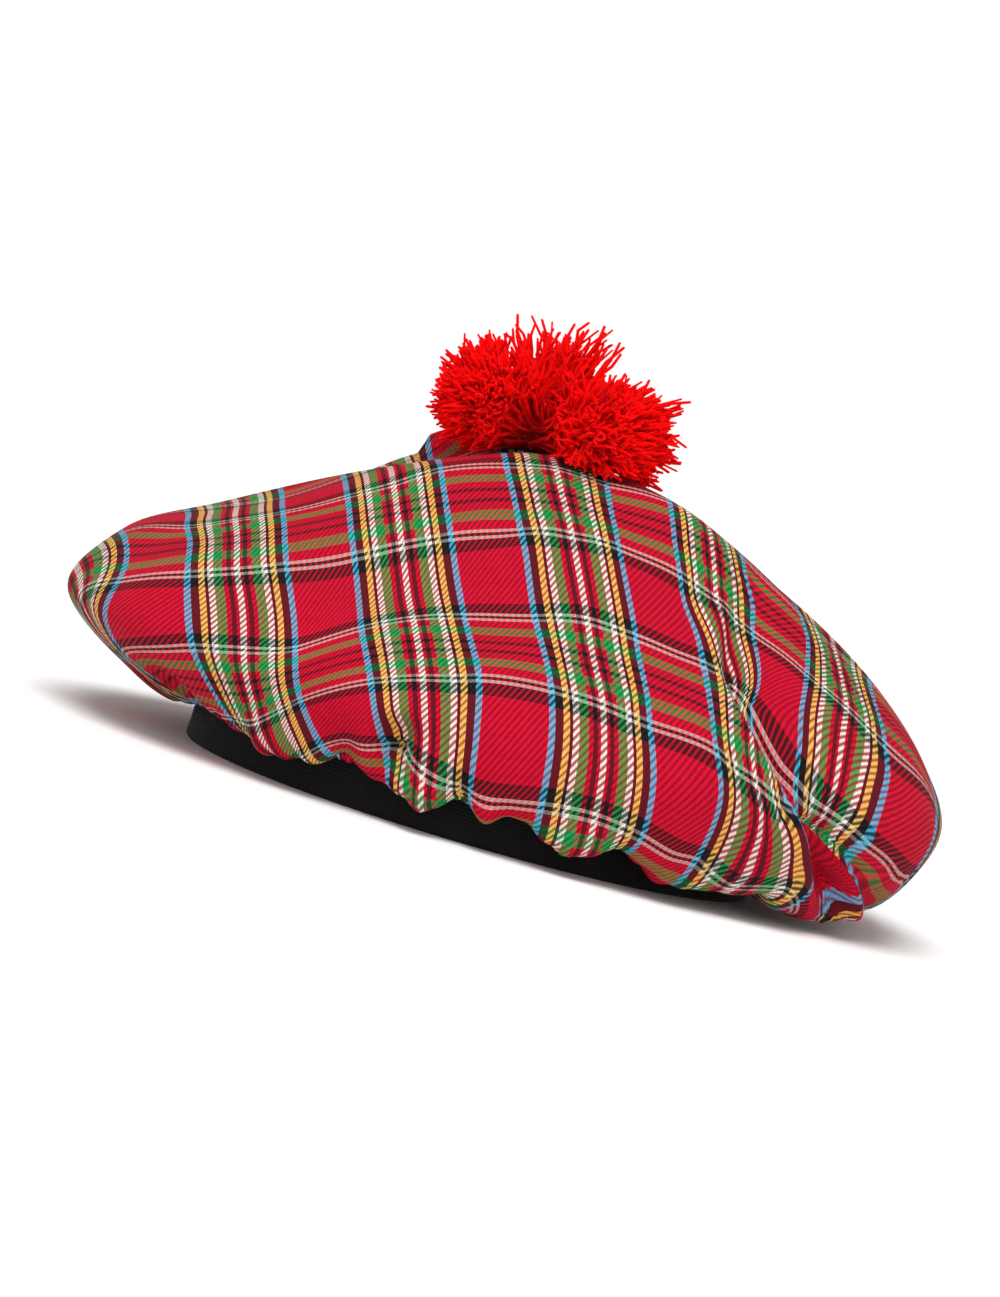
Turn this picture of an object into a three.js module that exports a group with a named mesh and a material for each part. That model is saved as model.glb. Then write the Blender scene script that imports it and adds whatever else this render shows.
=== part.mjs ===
// Tam o' shanter: a soft round tartan crown gathered into a black headband, with a yarn pompom on top.
// Millimetres, +Z up. +X is the wearer-view right, -Y the front. Turns are degrees from +X, anticlockwise from above.
import * as THREE from 'three';

// ---------- sizes ----------
const CLOTH_WALL = 1.8;        // thickness of the crown's cloth
const CROWN_TOP_Z = 118;       // height of the cloth under the pompom
const JOIN_R = 93.9;           // where the gathered edge of the crown meets the band
const JOIN_Z = 15;
const BAND_OUTER_R = 93.2;     // about a 58 cm head
const BAND_THICK = 3.2;
const BAND_HEIGHT = 22;
const BAND_EDGE_R = 1.2;       // rounding of the band's folded edges
const POMPOM_X = -7;           // the pompom sits a little to the left of the middle
const POMPOM_Y = -2;
const POMPOM_GAP = 1.6;        // clear of the cloth below it

// Radii of the dome's guide points, as shares of the rim's radius.
const SHOULDER_SHARE = 0.36;
const FLANK_SHARE = 0.72;
const EDGE_SHARE = 0.92;

// One row for each upright section of the crown, every 30 degrees.
// The cloth runs from the top over shoulder, flank and edge to the rim, rolls under and goes back to the band.
const SECTION_COLUMNS = ['turn', 'shoulder_z', 'flank_z', 'edge_z', 'rim_r', 'rim_z', 'roll_r', 'roll_z'];
const SECTIONS = [
  [0, 106, 82, 58, 147, 36.5, 127, 7],        // right
  [30, 107, 81, 59, 141, 37, 120, 10],
  [60, 106, 79, 57, 131, 36, 113, 11],
  [90, 105, 78, 56, 125, 36, 110, 11],        // back
  [120, 106, 78, 56, 128, 36, 110, 11],
  [150, 109, 71.5, 54.5, 135, 35, 108, 10],
  [180, 100.5, 73, 57, 142.5, 35.5, 99, 9],   // left
  [210, 104, 72, 55, 136, 33.5, 103, 13],
  [240, 101, 68, 51, 119, 33, 108, 11.5],
  [270, 101, 67, 50, 113, 33, 107, 10.5],     // front
  [300, 104, 71, 52, 120, 33, 111, 9],
  [330, 111, 77.5, 57, 138, 35, 122.5, 6],
].map((row) => Object.fromEntries(SECTION_COLUMNS.map((name, i) => [name, row[i]])));

// One row for each fold: it follows a path of turns while the run along the cloth goes from start to end
// (0 at the top, 1 at the band). Height above the smooth cloth is negative in a valley.
// Widths are the half-widths in mm on the side of lower turns (before) and of higher turns (after).
const FOLD_COLUMNS = ['turn_start', 'turn_end', 'bow', 'run_start', 'run_end', 'width_before', 'width_after', 'height', 'fade_in', 'fade_out'];
const FOLDS = [
  [334.5, 334.5, -20, 0.28, 0.86, 6, 13, -11, 0.30, 0.06],   // deep valley at the right of the front
  [350, 352, -12, 0.40, 0.90, 20, 20, 3, 0.25, 0.20],        // swell beyond it
  [300, 306, -2, 0.50, 0.98, 16, 12, 4, 0.25, 0.15],         // swell before it
  [322, 349.1, 0, 0.74, 0.88, 9, 5, 4, 0.05, 0.06],          // ridge of the cloth that comes out of its lower end
  [262, 272, 0, 0.62, 0.98, 13, 13, -4, 0.20, 0.10],         // soft valley in the middle of the front
  [157, 157, 0, 0.18, 0.245, 7, 7, 4.5, 0.05, 0.04],         // pucker behind the pompom
  [236, 234, 0, 0.84, 1.00, 9, 9, 3, 0.08, 0.06],            // gathers over the band, left to right
  [248, 249, 0, 0.80, 1.00, 5, 5, -6, 0.10, 0.06],
  [257, 256, 0, 0.78, 0.97, 6, 6, -8, 0.05, 0.10],
  [262, 263, 0, 0.82, 1.00, 11, 10, 4, 0.10, 0.06],
  [269, 269.5, 0, 0.84, 1.00, 4, 4, -5, 0.08, 0.06],
  [273, 273, 0, 0.86, 1.00, 7, 7, 2, 0.08, 0.06],
  [279, 278, 0, 0.86, 1.00, 5, 5, -4, 0.08, 0.06],
  [287, 287, 0, 0.84, 1.00, 10, 10, 3, 0.08, 0.06],
  [296, 294, 0, 0.85, 1.00, 6, 6, -5, 0.08, 0.06],
  [306, 306, 0, 0.86, 1.00, 9, 9, 2, 0.08, 0.06],
  [320, 320, 0, 0.84, 1.00, 5, 5, -7, 0.08, 0.06],
  [336, 334, 0, 0.82, 1.00, 15, 12, 2.5, 0.05, 0.10],        // lip below that ridge
].map((row) => Object.fromEntries(FOLD_COLUMNS.map((name, i) => [name, row[i]])));

// The sides and the back gather evenly.
const BACK_GATHERS = { first: -14, last: 218, every: 19, width: 8, height: -4, run_start: 0.82 };
for (let t = BACK_GATHERS.first; t < BACK_GATHERS.last; t += BACK_GATHERS.every) {
  FOLDS.push({ turn_start: t, turn_end: t, bow: 0, run_start: BACK_GATHERS.run_start, run_end: 1,
    width_before: BACK_GATHERS.width, width_after: BACK_GATHERS.width, height: BACK_GATHERS.height, fade_in: 0.1, fade_out: 0.06 });
}

// How finely the cloth is faceted: more columns at the front, most of all round the deep valley, and more rows near the rim.
const FACET_COLUMNS = ['turn_from', 'turn_to', 'columns'];
const FACETS = [
  [225, 312, 36],
  [312, 346, 28],
  [346, 585, 28],
].map((row) => Object.fromEntries(FACET_COLUMNS.map((name, i) => [name, row[i]])));
const CLOTH_ROWS = 21;

// ---------- the crown's cloth ----------
const rad = (deg) => (deg * Math.PI) / 180;
const smooth = (x) => { const t = Math.min(1, Math.max(0, x)); return t * t * (3 - 2 * t); };

// A section between two rows of the table, smooth all the way round.
function sectionAt(turn) {
  const n = SECTIONS.length;
  const x = ((((turn % 360) + 360) % 360) * n) / 360;
  const i = Math.floor(x);
  const u = x - i;
  const [a, b, c, d] = [-1, 0, 1, 2].map((k) => SECTIONS[(i + k + n) % n]);
  const out = {};
  for (const name of SECTION_COLUMNS.slice(1)) {
    out[name] = 0.5 * (2 * b[name] + (c[name] - a[name]) * u + (2 * a[name] - 5 * b[name] + 4 * c[name] - d[name]) * u * u
      + (3 * b[name] - a[name] - 3 * c[name] + d[name]) * u * u * u);
  }
  return out;
}

// The line of the cloth in one section, as radius and height, with its length so far at each point.
function sectionLine(turn) {
  const s = sectionAt(turn);
  const guide = [
    [0, CROWN_TOP_Z],
    [SHOULDER_SHARE * s.rim_r, s.shoulder_z],
    [FLANK_SHARE * s.rim_r, s.flank_z],
    [EDGE_SHARE * s.rim_r, s.edge_z],
    [s.rim_r, s.rim_z],
    [s.roll_r, s.roll_z],
    [JOIN_R, JOIN_Z],
  ];
  const last = guide.length - 1;
  const mirrored = [-guide[1][0], guide[1][1]];   // the line is level at the top
  const beyond = [2 * guide[last][0] - guide[last - 1][0], 2 * guide[last][1] - guide[last - 1][1]];
  const curve = new THREE.CatmullRomCurve3(
    [mirrored, ...guide, beyond].map(([r, z]) => new THREE.Vector3(r, 0, z)), false, 'centripetal');
  const spans = guide.length + 1;
  const line = [];
  const STEPS = 24;
  for (let span = 1; span <= last; span++) {
    for (let k = 0; k < STEPS; k++) line.push(curve.getPoint((span + k / STEPS) / spans));
  }
  line.push(curve.getPoint((last + 1) / spans));
  let length = 0;
  return line.map((p, k) => {
    if (k) length += p.distanceTo(line[k - 1]);
    return { r: p.x, z: p.z, length };
  });
}

const lineCache = new Map();
function lineFor(turn) {
  const key = turn.toFixed(4);
  if (!lineCache.has(key)) lineCache.set(key, sectionLine(turn));
  return lineCache.get(key);
}

function onLine(line, run) {
  const at = run * line[line.length - 1].length;
  let k = 1;
  while (k < line.length - 1 && line[k].length < at) k++;
  const u = (at - line[k - 1].length) / (line[k].length - line[k - 1].length);
  return { r: line[k - 1].r + (line[k].r - line[k - 1].r) * u, z: line[k - 1].z + (line[k].z - line[k - 1].z) * u };
}

function foldHeight(turn, run, r) {
  let sum = 0;
  for (const f of FOLDS) {
    const t = Math.min(1, Math.max(0, (run - f.run_start) / (f.run_end - f.run_start)));
    const path = f.turn_start + (f.turn_end - f.turn_start) * t + f.bow * 4 * t * (1 - t);
    const off = ((((turn - path + 180) % 360) + 360) % 360) - 180;
    const across = rad(off) * Math.max(r, 12);
    const width = across < 0 ? f.width_before : f.width_after;
    sum += f.height * Math.exp(-((across / width) ** 2)) * smooth((run - f.run_start) / f.fade_in) * smooth((f.run_end - run) / f.fade_out);
  }
  return sum;
}

// A point on the outside of the cloth: the smooth section, raised or sunk by the folds along its own normal.
function clothPoint(turn, run) {
  const line = lineFor(turn);
  const p = onLine(line, run);
  const before = onLine(line, Math.max(0, run - 0.004));
  const after = onLine(line, Math.min(1, run + 0.004));
  const [tr, tz] = [after.r - before.r, after.z - before.z];
  const size = Math.hypot(tr, tz);
  const h = foldHeight(turn, run, p.r);
  const r = p.r - (tz / size) * h;
  return new THREE.Vector3(r * Math.cos(rad(turn)), r * Math.sin(rad(turn)), p.z + (tr / size) * h);
}

function clothNormal(turn, run) {
  if (run < 0.01) return new THREE.Vector3(0, 0, 1);
  const along = clothPoint(turn, Math.min(1, run + 0.006)).sub(clothPoint(turn, run - 0.006));
  const round = clothPoint(turn + 0.4, run).sub(clothPoint(turn - 0.4, run));
  return along.cross(round).normalize();
}

// Rings of points joined into one closed skin; the first and last entries are single points or the skin closes on itself.
function skin(rings, closed) {
  const points = [];
  const faces = [];
  const starts = rings.map((ring) => { const at = points.length; points.push(...ring); return at; });
  const count = Math.max(...rings.map((ring) => ring.length));
  const id = (j, i) => starts[j] + (rings[j].length === 1 ? 0 : i % count);
  const pairs = closed ? rings.length : rings.length - 1;
  for (let j = 0; j < pairs; j++) {
    const k = (j + 1) % rings.length;
    for (let i = 0; i < count; i++) {
      if (rings[k].length > 1) faces.push(id(j, i), id(k, i), id(k, i + 1));
      if (rings[j].length > 1) faces.push(id(j, i), id(k, i + 1), id(j, i + 1));
    }
  }
  const geometry = new THREE.BufferGeometry();
  geometry.setAttribute('position', new THREE.Float32BufferAttribute(points.flatMap((p) => [p.x, p.y, p.z]), 3));
  geometry.setIndex(faces);
  geometry.computeVertexNormals();
  return geometry;
}

// The columns lean with the deep valley, so that its crease runs along the facets.
const CREASE = FOLDS[0];
const LEAN_REACH = 55;         // degrees to either side of the crease
function leaned(turn, run) {
  const t = Math.min(1, Math.max(0, (run - CREASE.run_start) / (CREASE.run_end - CREASE.run_start)));
  const away = Math.abs(((((turn - CREASE.turn_start + 180) % 360) + 360) % 360) - 180);
  return turn + CREASE.bow * 4 * t * (1 - t) * smooth(1 - away / LEAN_REACH);
}

function crownGeometry() {
  const turns = FACETS.flatMap(({ turn_from, turn_to, columns }) =>
    Array.from({ length: columns }, (_, i) => turn_from + ((turn_to - turn_from) * i) / columns));
  const runs = [];
  for (let j = 1; j <= CLOTH_ROWS; j++) { const x = j / CLOTH_ROWS; runs.push(x + 0.16 * Math.sin(Math.PI * x)); }
  const outside = runs.map((run) => turns.map((turn) => clothPoint(leaned(turn, run), run)));
  const inside = runs.map((run, j) => turns.map((turn, i) => outside[j][i].clone().addScaledVector(clothNormal(leaned(turn, run), run), -CLOTH_WALL)));
  const top = new THREE.Vector3(0, 0, CROWN_TOP_Z);
  return skin([[top], ...outside, ...inside.reverse(), [top.clone().setZ(CROWN_TOP_Z - CLOTH_WALL)]], false);
}

// ---------- the headband: one ring with rounded edges, standing on its lower edge ----------
function bandGeometry() {
  const SEGMENTS = 64;
  const CORNER_STEPS = 2;
  const corners = [[-1, 1, 90], [-1, -1, 180], [1, -1, 270], [1, 1, 0]];
  const profile = [];
  for (const [sr, sz, from] of corners) {
    const cr = BAND_OUTER_R - BAND_THICK / 2 + sr * (BAND_THICK / 2 - BAND_EDGE_R);
    const cz = BAND_HEIGHT / 2 + sz * (BAND_HEIGHT / 2 - BAND_EDGE_R);
    for (let k = 0; k <= CORNER_STEPS; k++) {
      const a = rad(from + (90 * k) / CORNER_STEPS);
      profile.push([cr + BAND_EDGE_R * Math.cos(a), cz + BAND_EDGE_R * Math.sin(a)]);
    }
  }
  const rings = profile.map(([r, z]) => Array.from({ length: SEGMENTS }, (_, i) => {
    const a = (2 * Math.PI * i) / SEGMENTS;
    return new THREE.Vector3(r * Math.cos(a), r * Math.sin(a), z);
  }));
  return skin(rings.reverse(), true);
}

// ---------- the pompom: the outer form of its cut yarn ends, a flattened ball with soft lobes ----------
// Heights are above the crown's top; the yarn hangs a little below it round the outside.
const POMPOM_COLUMNS = ['height', 'radius'];
const POMPOM_ROWS = [
  [-1, 37], [4, 41.5], [11, 42.5], [19, 41.5], [28, 37], [35.5, 29], [41, 17],
].map((row) => Object.fromEntries(POMPOM_COLUMNS.map((name, i) => [name, row[i]])));
const POMPOM_TOP = 44;
const UNDERSIDE_RADII = [32, 22, 11];   // rings of the hollow underside that lies along the cloth
const LOBE_COLUMNS = ['count', 'phase', 'size', 'climb'];
const LOBES = [[2, 10, 0.03, 0], [5, 40, 0.025, 40], [9, 100, 0.02, -60]]
  .map((row) => Object.fromEntries(LOBE_COLUMNS.map((name, i) => [name, row[i]])));

// Height of the cloth's outside straight above a point of the plan, near the top of the crown.
function clothHeight(x, y) {
  const turn = (Math.atan2(y, x) * 180) / Math.PI;
  const reach = Math.hypot(x, y);
  let [low, high] = [0, 0.5];
  for (let k = 0; k < 30; k++) {
    const p = clothPoint(turn, (low + high) / 2);
    if (Math.hypot(p.x, p.y) < reach) low = (low + high) / 2; else high = (low + high) / 2;
  }
  return clothPoint(turn, low).z;
}

function pompomGeometry() {
  const COLUMNS = 36;
  const turns = Array.from({ length: COLUMNS }, (_, i) => (360 * i) / COLUMNS);
  const rings = POMPOM_ROWS.map(({ height, radius }) => turns.map((a) => {
    let r = radius;
    for (const lobe of LOBES) r += radius * lobe.size * Math.cos(rad(lobe.count * a + lobe.phase + (lobe.climb * height) / POMPOM_TOP));
    return new THREE.Vector3(POMPOM_X + r * Math.cos(rad(a)), POMPOM_Y + r * Math.sin(rad(a)), CROWN_TOP_Z + height);
  }));
  const underside = UNDERSIDE_RADII.map((r) => turns.map((a) => {
    const [x, y] = [POMPOM_X + r * Math.cos(rad(a)), POMPOM_Y + r * Math.sin(rad(a))];
    return new THREE.Vector3(x, y, clothHeight(x, y) + POMPOM_GAP);
  }));
  const top = new THREE.Vector3(POMPOM_X, POMPOM_Y, CROWN_TOP_Z + POMPOM_TOP);
  const bottom = new THREE.Vector3(POMPOM_X, POMPOM_Y, clothHeight(POMPOM_X, POMPOM_Y) + POMPOM_GAP);
  return skin([[top], ...rings.reverse(), ...underside, [bottom]], false);
}

// ---------- assembly ----------
const group = new THREE.Group();
function add(name, geometry, colour) {
  const mesh = new THREE.Mesh(geometry, new THREE.MeshStandardMaterial({ color: colour, roughness: 0.9 }));
  mesh.name = name;
  group.add(mesh);
}
add('crown', crownGeometry(), 0xb01030);
add('headband', bandGeometry(), 0x141214);
add('pompom', pompomGeometry(), 0xd80808);

// The origin is the middle of the hat's plan, on the surface it stands on.
const box = new THREE.Box3().setFromObject(group);
const middle = box.getCenter(new THREE.Vector3());
for (const mesh of group.children) mesh.geometry.translate(-middle.x, -middle.y, -box.min.z);

export default group;
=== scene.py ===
"""Tam o' shanter: a tartan crown, a ribbed black headband and a red yarn pompom.

Lengths in the tables are millimetres. Turns are degrees from +X, anticlockwise from above; a run goes from 0 at the
top of the crown to 1 at the band. The hat's own axis is the headband's, and everything is moved to it at the end.
"""

import math

import bpy
import numpy as np
from mathutils import Matrix, Vector


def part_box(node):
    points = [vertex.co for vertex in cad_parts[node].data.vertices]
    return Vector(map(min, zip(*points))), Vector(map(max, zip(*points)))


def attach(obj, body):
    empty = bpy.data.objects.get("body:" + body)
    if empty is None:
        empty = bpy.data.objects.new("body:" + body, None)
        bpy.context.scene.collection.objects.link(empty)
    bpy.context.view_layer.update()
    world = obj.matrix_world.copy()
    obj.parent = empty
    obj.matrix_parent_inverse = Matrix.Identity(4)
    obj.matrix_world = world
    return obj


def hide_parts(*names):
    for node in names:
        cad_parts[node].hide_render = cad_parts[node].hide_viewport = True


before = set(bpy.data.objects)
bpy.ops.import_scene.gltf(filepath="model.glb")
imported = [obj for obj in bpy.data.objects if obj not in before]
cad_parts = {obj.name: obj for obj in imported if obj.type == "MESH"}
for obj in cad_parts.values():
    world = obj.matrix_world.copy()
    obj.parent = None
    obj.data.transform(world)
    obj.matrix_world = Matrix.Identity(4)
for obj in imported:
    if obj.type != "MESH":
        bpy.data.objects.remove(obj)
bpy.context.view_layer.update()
band_low, band_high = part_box("headband")
AXIS = np.array([(band_low[0] + band_high[0]) / 2, (band_low[1] + band_high[1]) / 2, 0.0])
MM = 0.001


def to_row(points):
    """Millimetres about the hat's axis to metres in the row frame."""
    return np.asarray(points, float) * MM + AXIS


# ---------------------------------------------------------------- camera
CAMERA = {"roll": 16.5, "elevation": 2.9, "distance": 1200.0, "target": (-4.6, 0.0, 53.9), "focal_px": 3756.0}
FRAME_PX = (1000, 1297)


def make_camera():
    roll, tip = math.radians(CAMERA["roll"]), math.radians(CAMERA["elevation"])
    ahead = Vector((0, math.cos(tip), -math.sin(tip)))
    level_up = Vector((0, math.sin(tip), math.cos(tip)))
    right = math.cos(roll) * Vector((1, 0, 0)) + math.sin(roll) * level_up
    up = -math.sin(roll) * Vector((1, 0, 0)) + math.cos(roll) * level_up
    target = Vector(to_row(CAMERA["target"]))
    place = target - ahead * CAMERA["distance"] * MM
    data = bpy.data.cameras.new("camera")
    data.sensor_fit = "VERTICAL"
    data.sensor_height = 36.0
    data.lens = 36.0 * CAMERA["focal_px"] / FRAME_PX[1]
    data.clip_start, data.clip_end = 0.05, 60.0
    camera = bpy.data.objects.new("camera", data)
    rows = [list(axis) for axis in zip(right, up, -ahead)]
    camera.matrix_world = Matrix([rows[k] + [place[k]] for k in range(3)] + [[0, 0, 0, 1]])
    bpy.context.scene.collection.objects.link(camera)
    bpy.context.scene.camera = camera


make_camera()


# ---------------------------------------------------------------- small helpers
def smooth(x):
    t = np.clip(x, 0.0, 1.0)
    return t * t * (3 - 2 * t)


def make_piece(name, points, faces, maps, material):
    """A mesh piece from points in the row frame. maps: name -> one (u, v) for each face corner."""
    mesh = bpy.data.meshes.new(name)
    mesh.from_pydata(np.asarray(points, float).tolist(), [], faces)
    for map_name, uv in maps.items():
        layer = mesh.uv_layers.new(name=map_name)
        layer.data.foreach_set("uv", np.asarray(uv, np.float32).ravel())
    mesh.materials.append(material)
    mesh.polygons.foreach_set("use_smooth", np.ones(len(mesh.polygons), bool))
    mesh.update()
    piece = bpy.data.objects.new(name, mesh)
    bpy.context.scene.collection.objects.link(piece)
    return piece


class Nodes:
    """Short ways to add shader nodes to one material."""

    def __init__(self, name):
        self.material = bpy.data.materials.new(name)
        self.material.use_nodes = True
        self.tree = self.material.node_tree
        self.shader = self.tree.nodes["Principled BSDF"]

    def add(self, kind, **settings):
        made = self.tree.nodes.new(kind)
        for key, value in settings.items():
            setattr(made, key, value)
        return made

    def feed(self, socket, value):
        if isinstance(value, bpy.types.NodeSocket):
            self.tree.links.new(value, socket)
        else:
            socket.default_value = value

    def math(self, operation, a, b=None, c=None):
        made = self.add("ShaderNodeMath", operation=operation)
        for k, value in enumerate((a, b, c)):
            if value is not None:
                self.feed(made.inputs[k], value)
        return made.outputs[0]

    def mix(self, factor, a, b, blend="MIX"):
        made = self.add("ShaderNodeMix", data_type="RGBA", blend_type=blend)
        self.feed(made.inputs[0], factor)
        self.feed(made.inputs[6], a)
        self.feed(made.inputs[7], b)
        return made.outputs[2]

    def uv(self, name):
        made = self.add("ShaderNodeUVMap", uv_map=name)
        parts = self.add("ShaderNodeSeparateXYZ")
        self.tree.links.new(made.outputs[0], parts.inputs[0])
        return parts.outputs[0], parts.outputs[1]

    def noise(self, scale, detail=2.0, vector=None, w=None):
        made = self.add("ShaderNodeTexNoise")
        if w is not None:
            made.noise_dimensions = "1D"
            self.feed(made.inputs["W"], w)
        elif vector is not None:
            self.feed(made.inputs["Vector"], vector)
        made.inputs["Scale"].default_value = scale
        made.inputs["Detail"].default_value = detail
        return made.outputs[0]

    def place(self):
        return self.add("ShaderNodeTexCoord").outputs["Object"]

    def bump(self, height, strength, distance, under=None):
        made = self.add("ShaderNodeBump")
        made.inputs["Strength"].default_value = strength
        made.inputs["Distance"].default_value = distance
        self.feed(made.inputs["Height"], height)
        if under is not None:
            self.feed(made.inputs["Normal"], under)
        return made.outputs[0]


# ---------------------------------------------------------------- the crown's shape
CLOTH_WALL = 1.8
CROWN_TOP_Z = 118.0
JOIN_R, JOIN_Z = 93.9, 15.0
SHOULDER_SHARE, FLANK_SHARE, EDGE_SHARE = 0.36, 0.72, 0.92

# One row for each upright section, every 30 degrees from the right:
# shoulder_z, flank_z, edge_z, rim_r, rim_z, roll_r, roll_z
SECTIONS = np.array([
    (106, 82, 58, 147, 36.5, 127, 7),
    (107, 81, 59, 141, 37, 120, 10),
    (106, 79, 57, 131, 36, 113, 11),
    (105, 78, 56, 125, 36, 110, 11),
    (106, 78, 56, 128, 36, 110, 11),
    (109, 71.5, 54.5, 135, 35, 108, 10),
    (100.5, 73, 57, 142.5, 35.5, 99, 9),
    (104, 72, 55, 136, 33.5, 103, 13),
    (101, 68, 51, 119, 33, 108, 11.5),
    (101, 67, 50, 113, 33, 107, 10.5),
    (104, 71, 52, 120, 33, 111, 9),
    (111, 77.5, 57, 138, 35, 122.5, 6),
])

# One row for each fold: turn_start, turn_end, bow, run_start, run_end, width_before, width_after, height, fade_in, fade_out
FOLDS = [
    (334.5, 334.5, -20, 0.28, 0.86, 6, 13, -11, 0.30, 0.06),   # deep valley at the right of the front
    (350, 352, -12, 0.40, 0.90, 20, 20, 3, 0.25, 0.20),        # swell beyond it
    (300, 306, -2, 0.50, 0.98, 16, 12, 4, 0.25, 0.15),         # swell before it
    (322, 349.1, 0, 0.74, 0.88, 9, 3, 4, 0.05, 0.06),          # ridge of the cloth that comes out of its lower end
    (325.3, 352.4, 0, 0.74, 0.88, 2.5, 10, -1.5, 0.05, 0.06),  # dip where the next panel goes under that ridge
    (330.5, 334, 0, 0.80, 0.865, 6, 6, -6.5, 0.03, 0.025),     # hollow below the ridge, above the lip
    (262, 272, 0, 0.62, 0.98, 13, 13, -4, 0.20, 0.10),         # soft valley in the middle of the front
    (156, 156, 0, 0.12, 0.238, 7, 7, 6, 0.05, 0.022),          # pucker behind the pompom
    (236, 234, 0, 0.84, 1.00, 9, 9, 3, 0.08, 0.06),            # gathers over the band, left to right
    (248, 249, 0, 0.80, 1.00, 5, 5, -6, 0.10, 0.06),
    (257, 256, 0, 0.78, 0.97, 6, 6, -8, 0.05, 0.10),
    (257, 256, 0, 0.843, 0.875, 5, 4, -7, 0.016, 0.03),        # pocket in the gather beside the middle of the front
    (262, 263, 0, 0.82, 1.00, 11, 10, 4, 0.10, 0.06),
    (267.5, 268, 0, 0.84, 1.00, 4, 4, -5, 0.08, 0.06),
    (273, 273, 0, 0.86, 1.00, 7, 7, 2, 0.08, 0.06),
    (279, 278, 0, 0.86, 1.00, 5, 5, -4, 0.08, 0.06),
    (287, 287, 0, 0.84, 1.00, 10, 10, 3, 0.08, 0.06),
    (296, 294, 0, 0.85, 1.00, 6, 6, -5, 0.08, 0.06),
    (306, 306, 0, 0.86, 1.00, 9, 9, 2, 0.08, 0.06),
    (320, 320, 0, 0.84, 1.00, 5, 5, -7, 0.08, 0.06),
    (336, 334, 0, 0.82, 1.00, 15, 12, 2.5, 0.035, 0.10),       # lip under the hollow
] + [(t, t, 0, 0.82, 1.0, 8, 8, -4, 0.10, 0.06) for t in range(-14, 218, 19)]   # even gathers at the sides and back
CREASE = FOLDS[0]
LEAN_REACH = 55.0

# Small puckers where the cloth is gathered into the band, and slow waves in the slack cloth: waves round the hat, height
PUCKERS = [(47, 0.40), (61, 0.45), (74, 0.40), (89, 0.25)]
SLACK = [(5, 0.45), (8, 0.40), (13, 0.30), (19, 0.22)]


def wrap(turn):
    return (turn + 180.0) % 360.0 - 180.0


def section_lines(turns):
    """Radius, height and length so far along the cloth, for each turn."""
    n = len(SECTIONS)
    x = (np.asarray(turns, float) % 360) * n / 360
    i = np.floor(x).astype(int)
    u = (x - i)[:, None]
    a, b, c, d = (SECTIONS[(i + k) % n] for k in (-1, 0, 1, 2))
    s = 0.5 * (2 * b + (c - a) * u + (2 * a - 5 * b + 4 * c - d) * u**2 + (3 * b - a - 3 * c + d) * u**3)
    shoulder_z, flank_z, edge_z, rim_r, rim_z, roll_r, roll_z = s.T
    zero = np.zeros_like(rim_r)
    guide = [
        (zero, zero + CROWN_TOP_Z), (SHOULDER_SHARE * rim_r, shoulder_z), (FLANK_SHARE * rim_r, flank_z),
        (EDGE_SHARE * rim_r, edge_z), (rim_r, rim_z), (roll_r, roll_z), (zero + JOIN_R, zero + JOIN_Z),
    ]
    p = np.stack([np.stack(g, -1) for g in guide], 1)
    p = np.concatenate([p[:, 1:2] * [-1, 1], p, 2 * p[:, -1:] - p[:, -2:-1]], 1)
    spans = []
    steps = 24
    for k in range(1, len(guide)):
        p0, p1, p2, p3 = (p[:, k + m] for m in (-1, 0, 1, 2))
        d0, d1, d2 = (np.sqrt(np.linalg.norm(q - o, axis=-1))[:, None] for o, q in ((p0, p1), (p1, p2), (p2, p3)))
        t1 = ((p1 - p0) / d0 - (p2 - p0) / (d0 + d1) + (p2 - p1) / d1) * d1
        t2 = ((p2 - p1) / d1 - (p3 - p1) / (d1 + d2) + (p3 - p2) / d2) * d1
        v = (np.linspace(0, 1, steps + 1) if k == len(guide) - 1 else np.arange(steps) / steps)[None, :, None]
        spans.append((2 * v**3 - 3 * v**2 + 1) * p1[:, None] + (v**3 - 2 * v**2 + v) * t1[:, None]
                     + (3 * v**2 - 2 * v**3) * p2[:, None] + (v**3 - v**2) * t2[:, None])
    line = np.concatenate(spans, 1)
    step = np.linalg.norm(np.diff(line, axis=1), axis=-1)
    return line, np.concatenate([np.zeros((len(line), 1)), np.cumsum(step, 1)], 1)


TOTAL_TURNS = np.arange(0, 361, 1.0)
TOTAL_LENGTHS = section_lines(TOTAL_TURNS)[1][:, -1]


def total_length(turn):
    return np.interp(np.asarray(turn) % 360, TOTAL_TURNS, TOTAL_LENGTHS)


def fold_path(fold, run):
    t = np.clip((run - fold[3]) / (fold[4] - fold[3]), 0, 1)
    return fold[0] + (fold[1] - fold[0]) * t + fold[2] * 4 * t * (1 - t)


def fold_height(turn, run, r):
    total = np.zeros_like(r)
    for fold in FOLDS:
        across = np.radians(wrap(turn - fold_path(fold, run))) * np.maximum(r, 12)
        width = np.where(across < 0, fold[5], fold[6])
        total += (fold[7] * np.exp(-((across / width) ** 2))
                  * smooth((run - fold[3]) / fold[8]) * smooth((fold[4] - run) / fold[9]))
    return total


def small_waves(turn, run):
    angle = np.radians(turn)
    near_band = smooth((run - 0.86) / 0.08) * smooth((1.0 - run) / 0.03)
    slack = smooth((run - 0.12) / 0.25) * smooth((0.95 - run) / 0.2)
    total = np.zeros_like(run)
    for k, (count, height) in enumerate(PUCKERS):
        total += near_band * height * np.cos(count * angle + 1.7 * k + 3.0 * run)
    for k, (count, height) in enumerate(SLACK):
        total += slack * height * np.cos(count * angle + 2.3 * k + (7.0 + 3.0 * k) * run)
    return total


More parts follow.
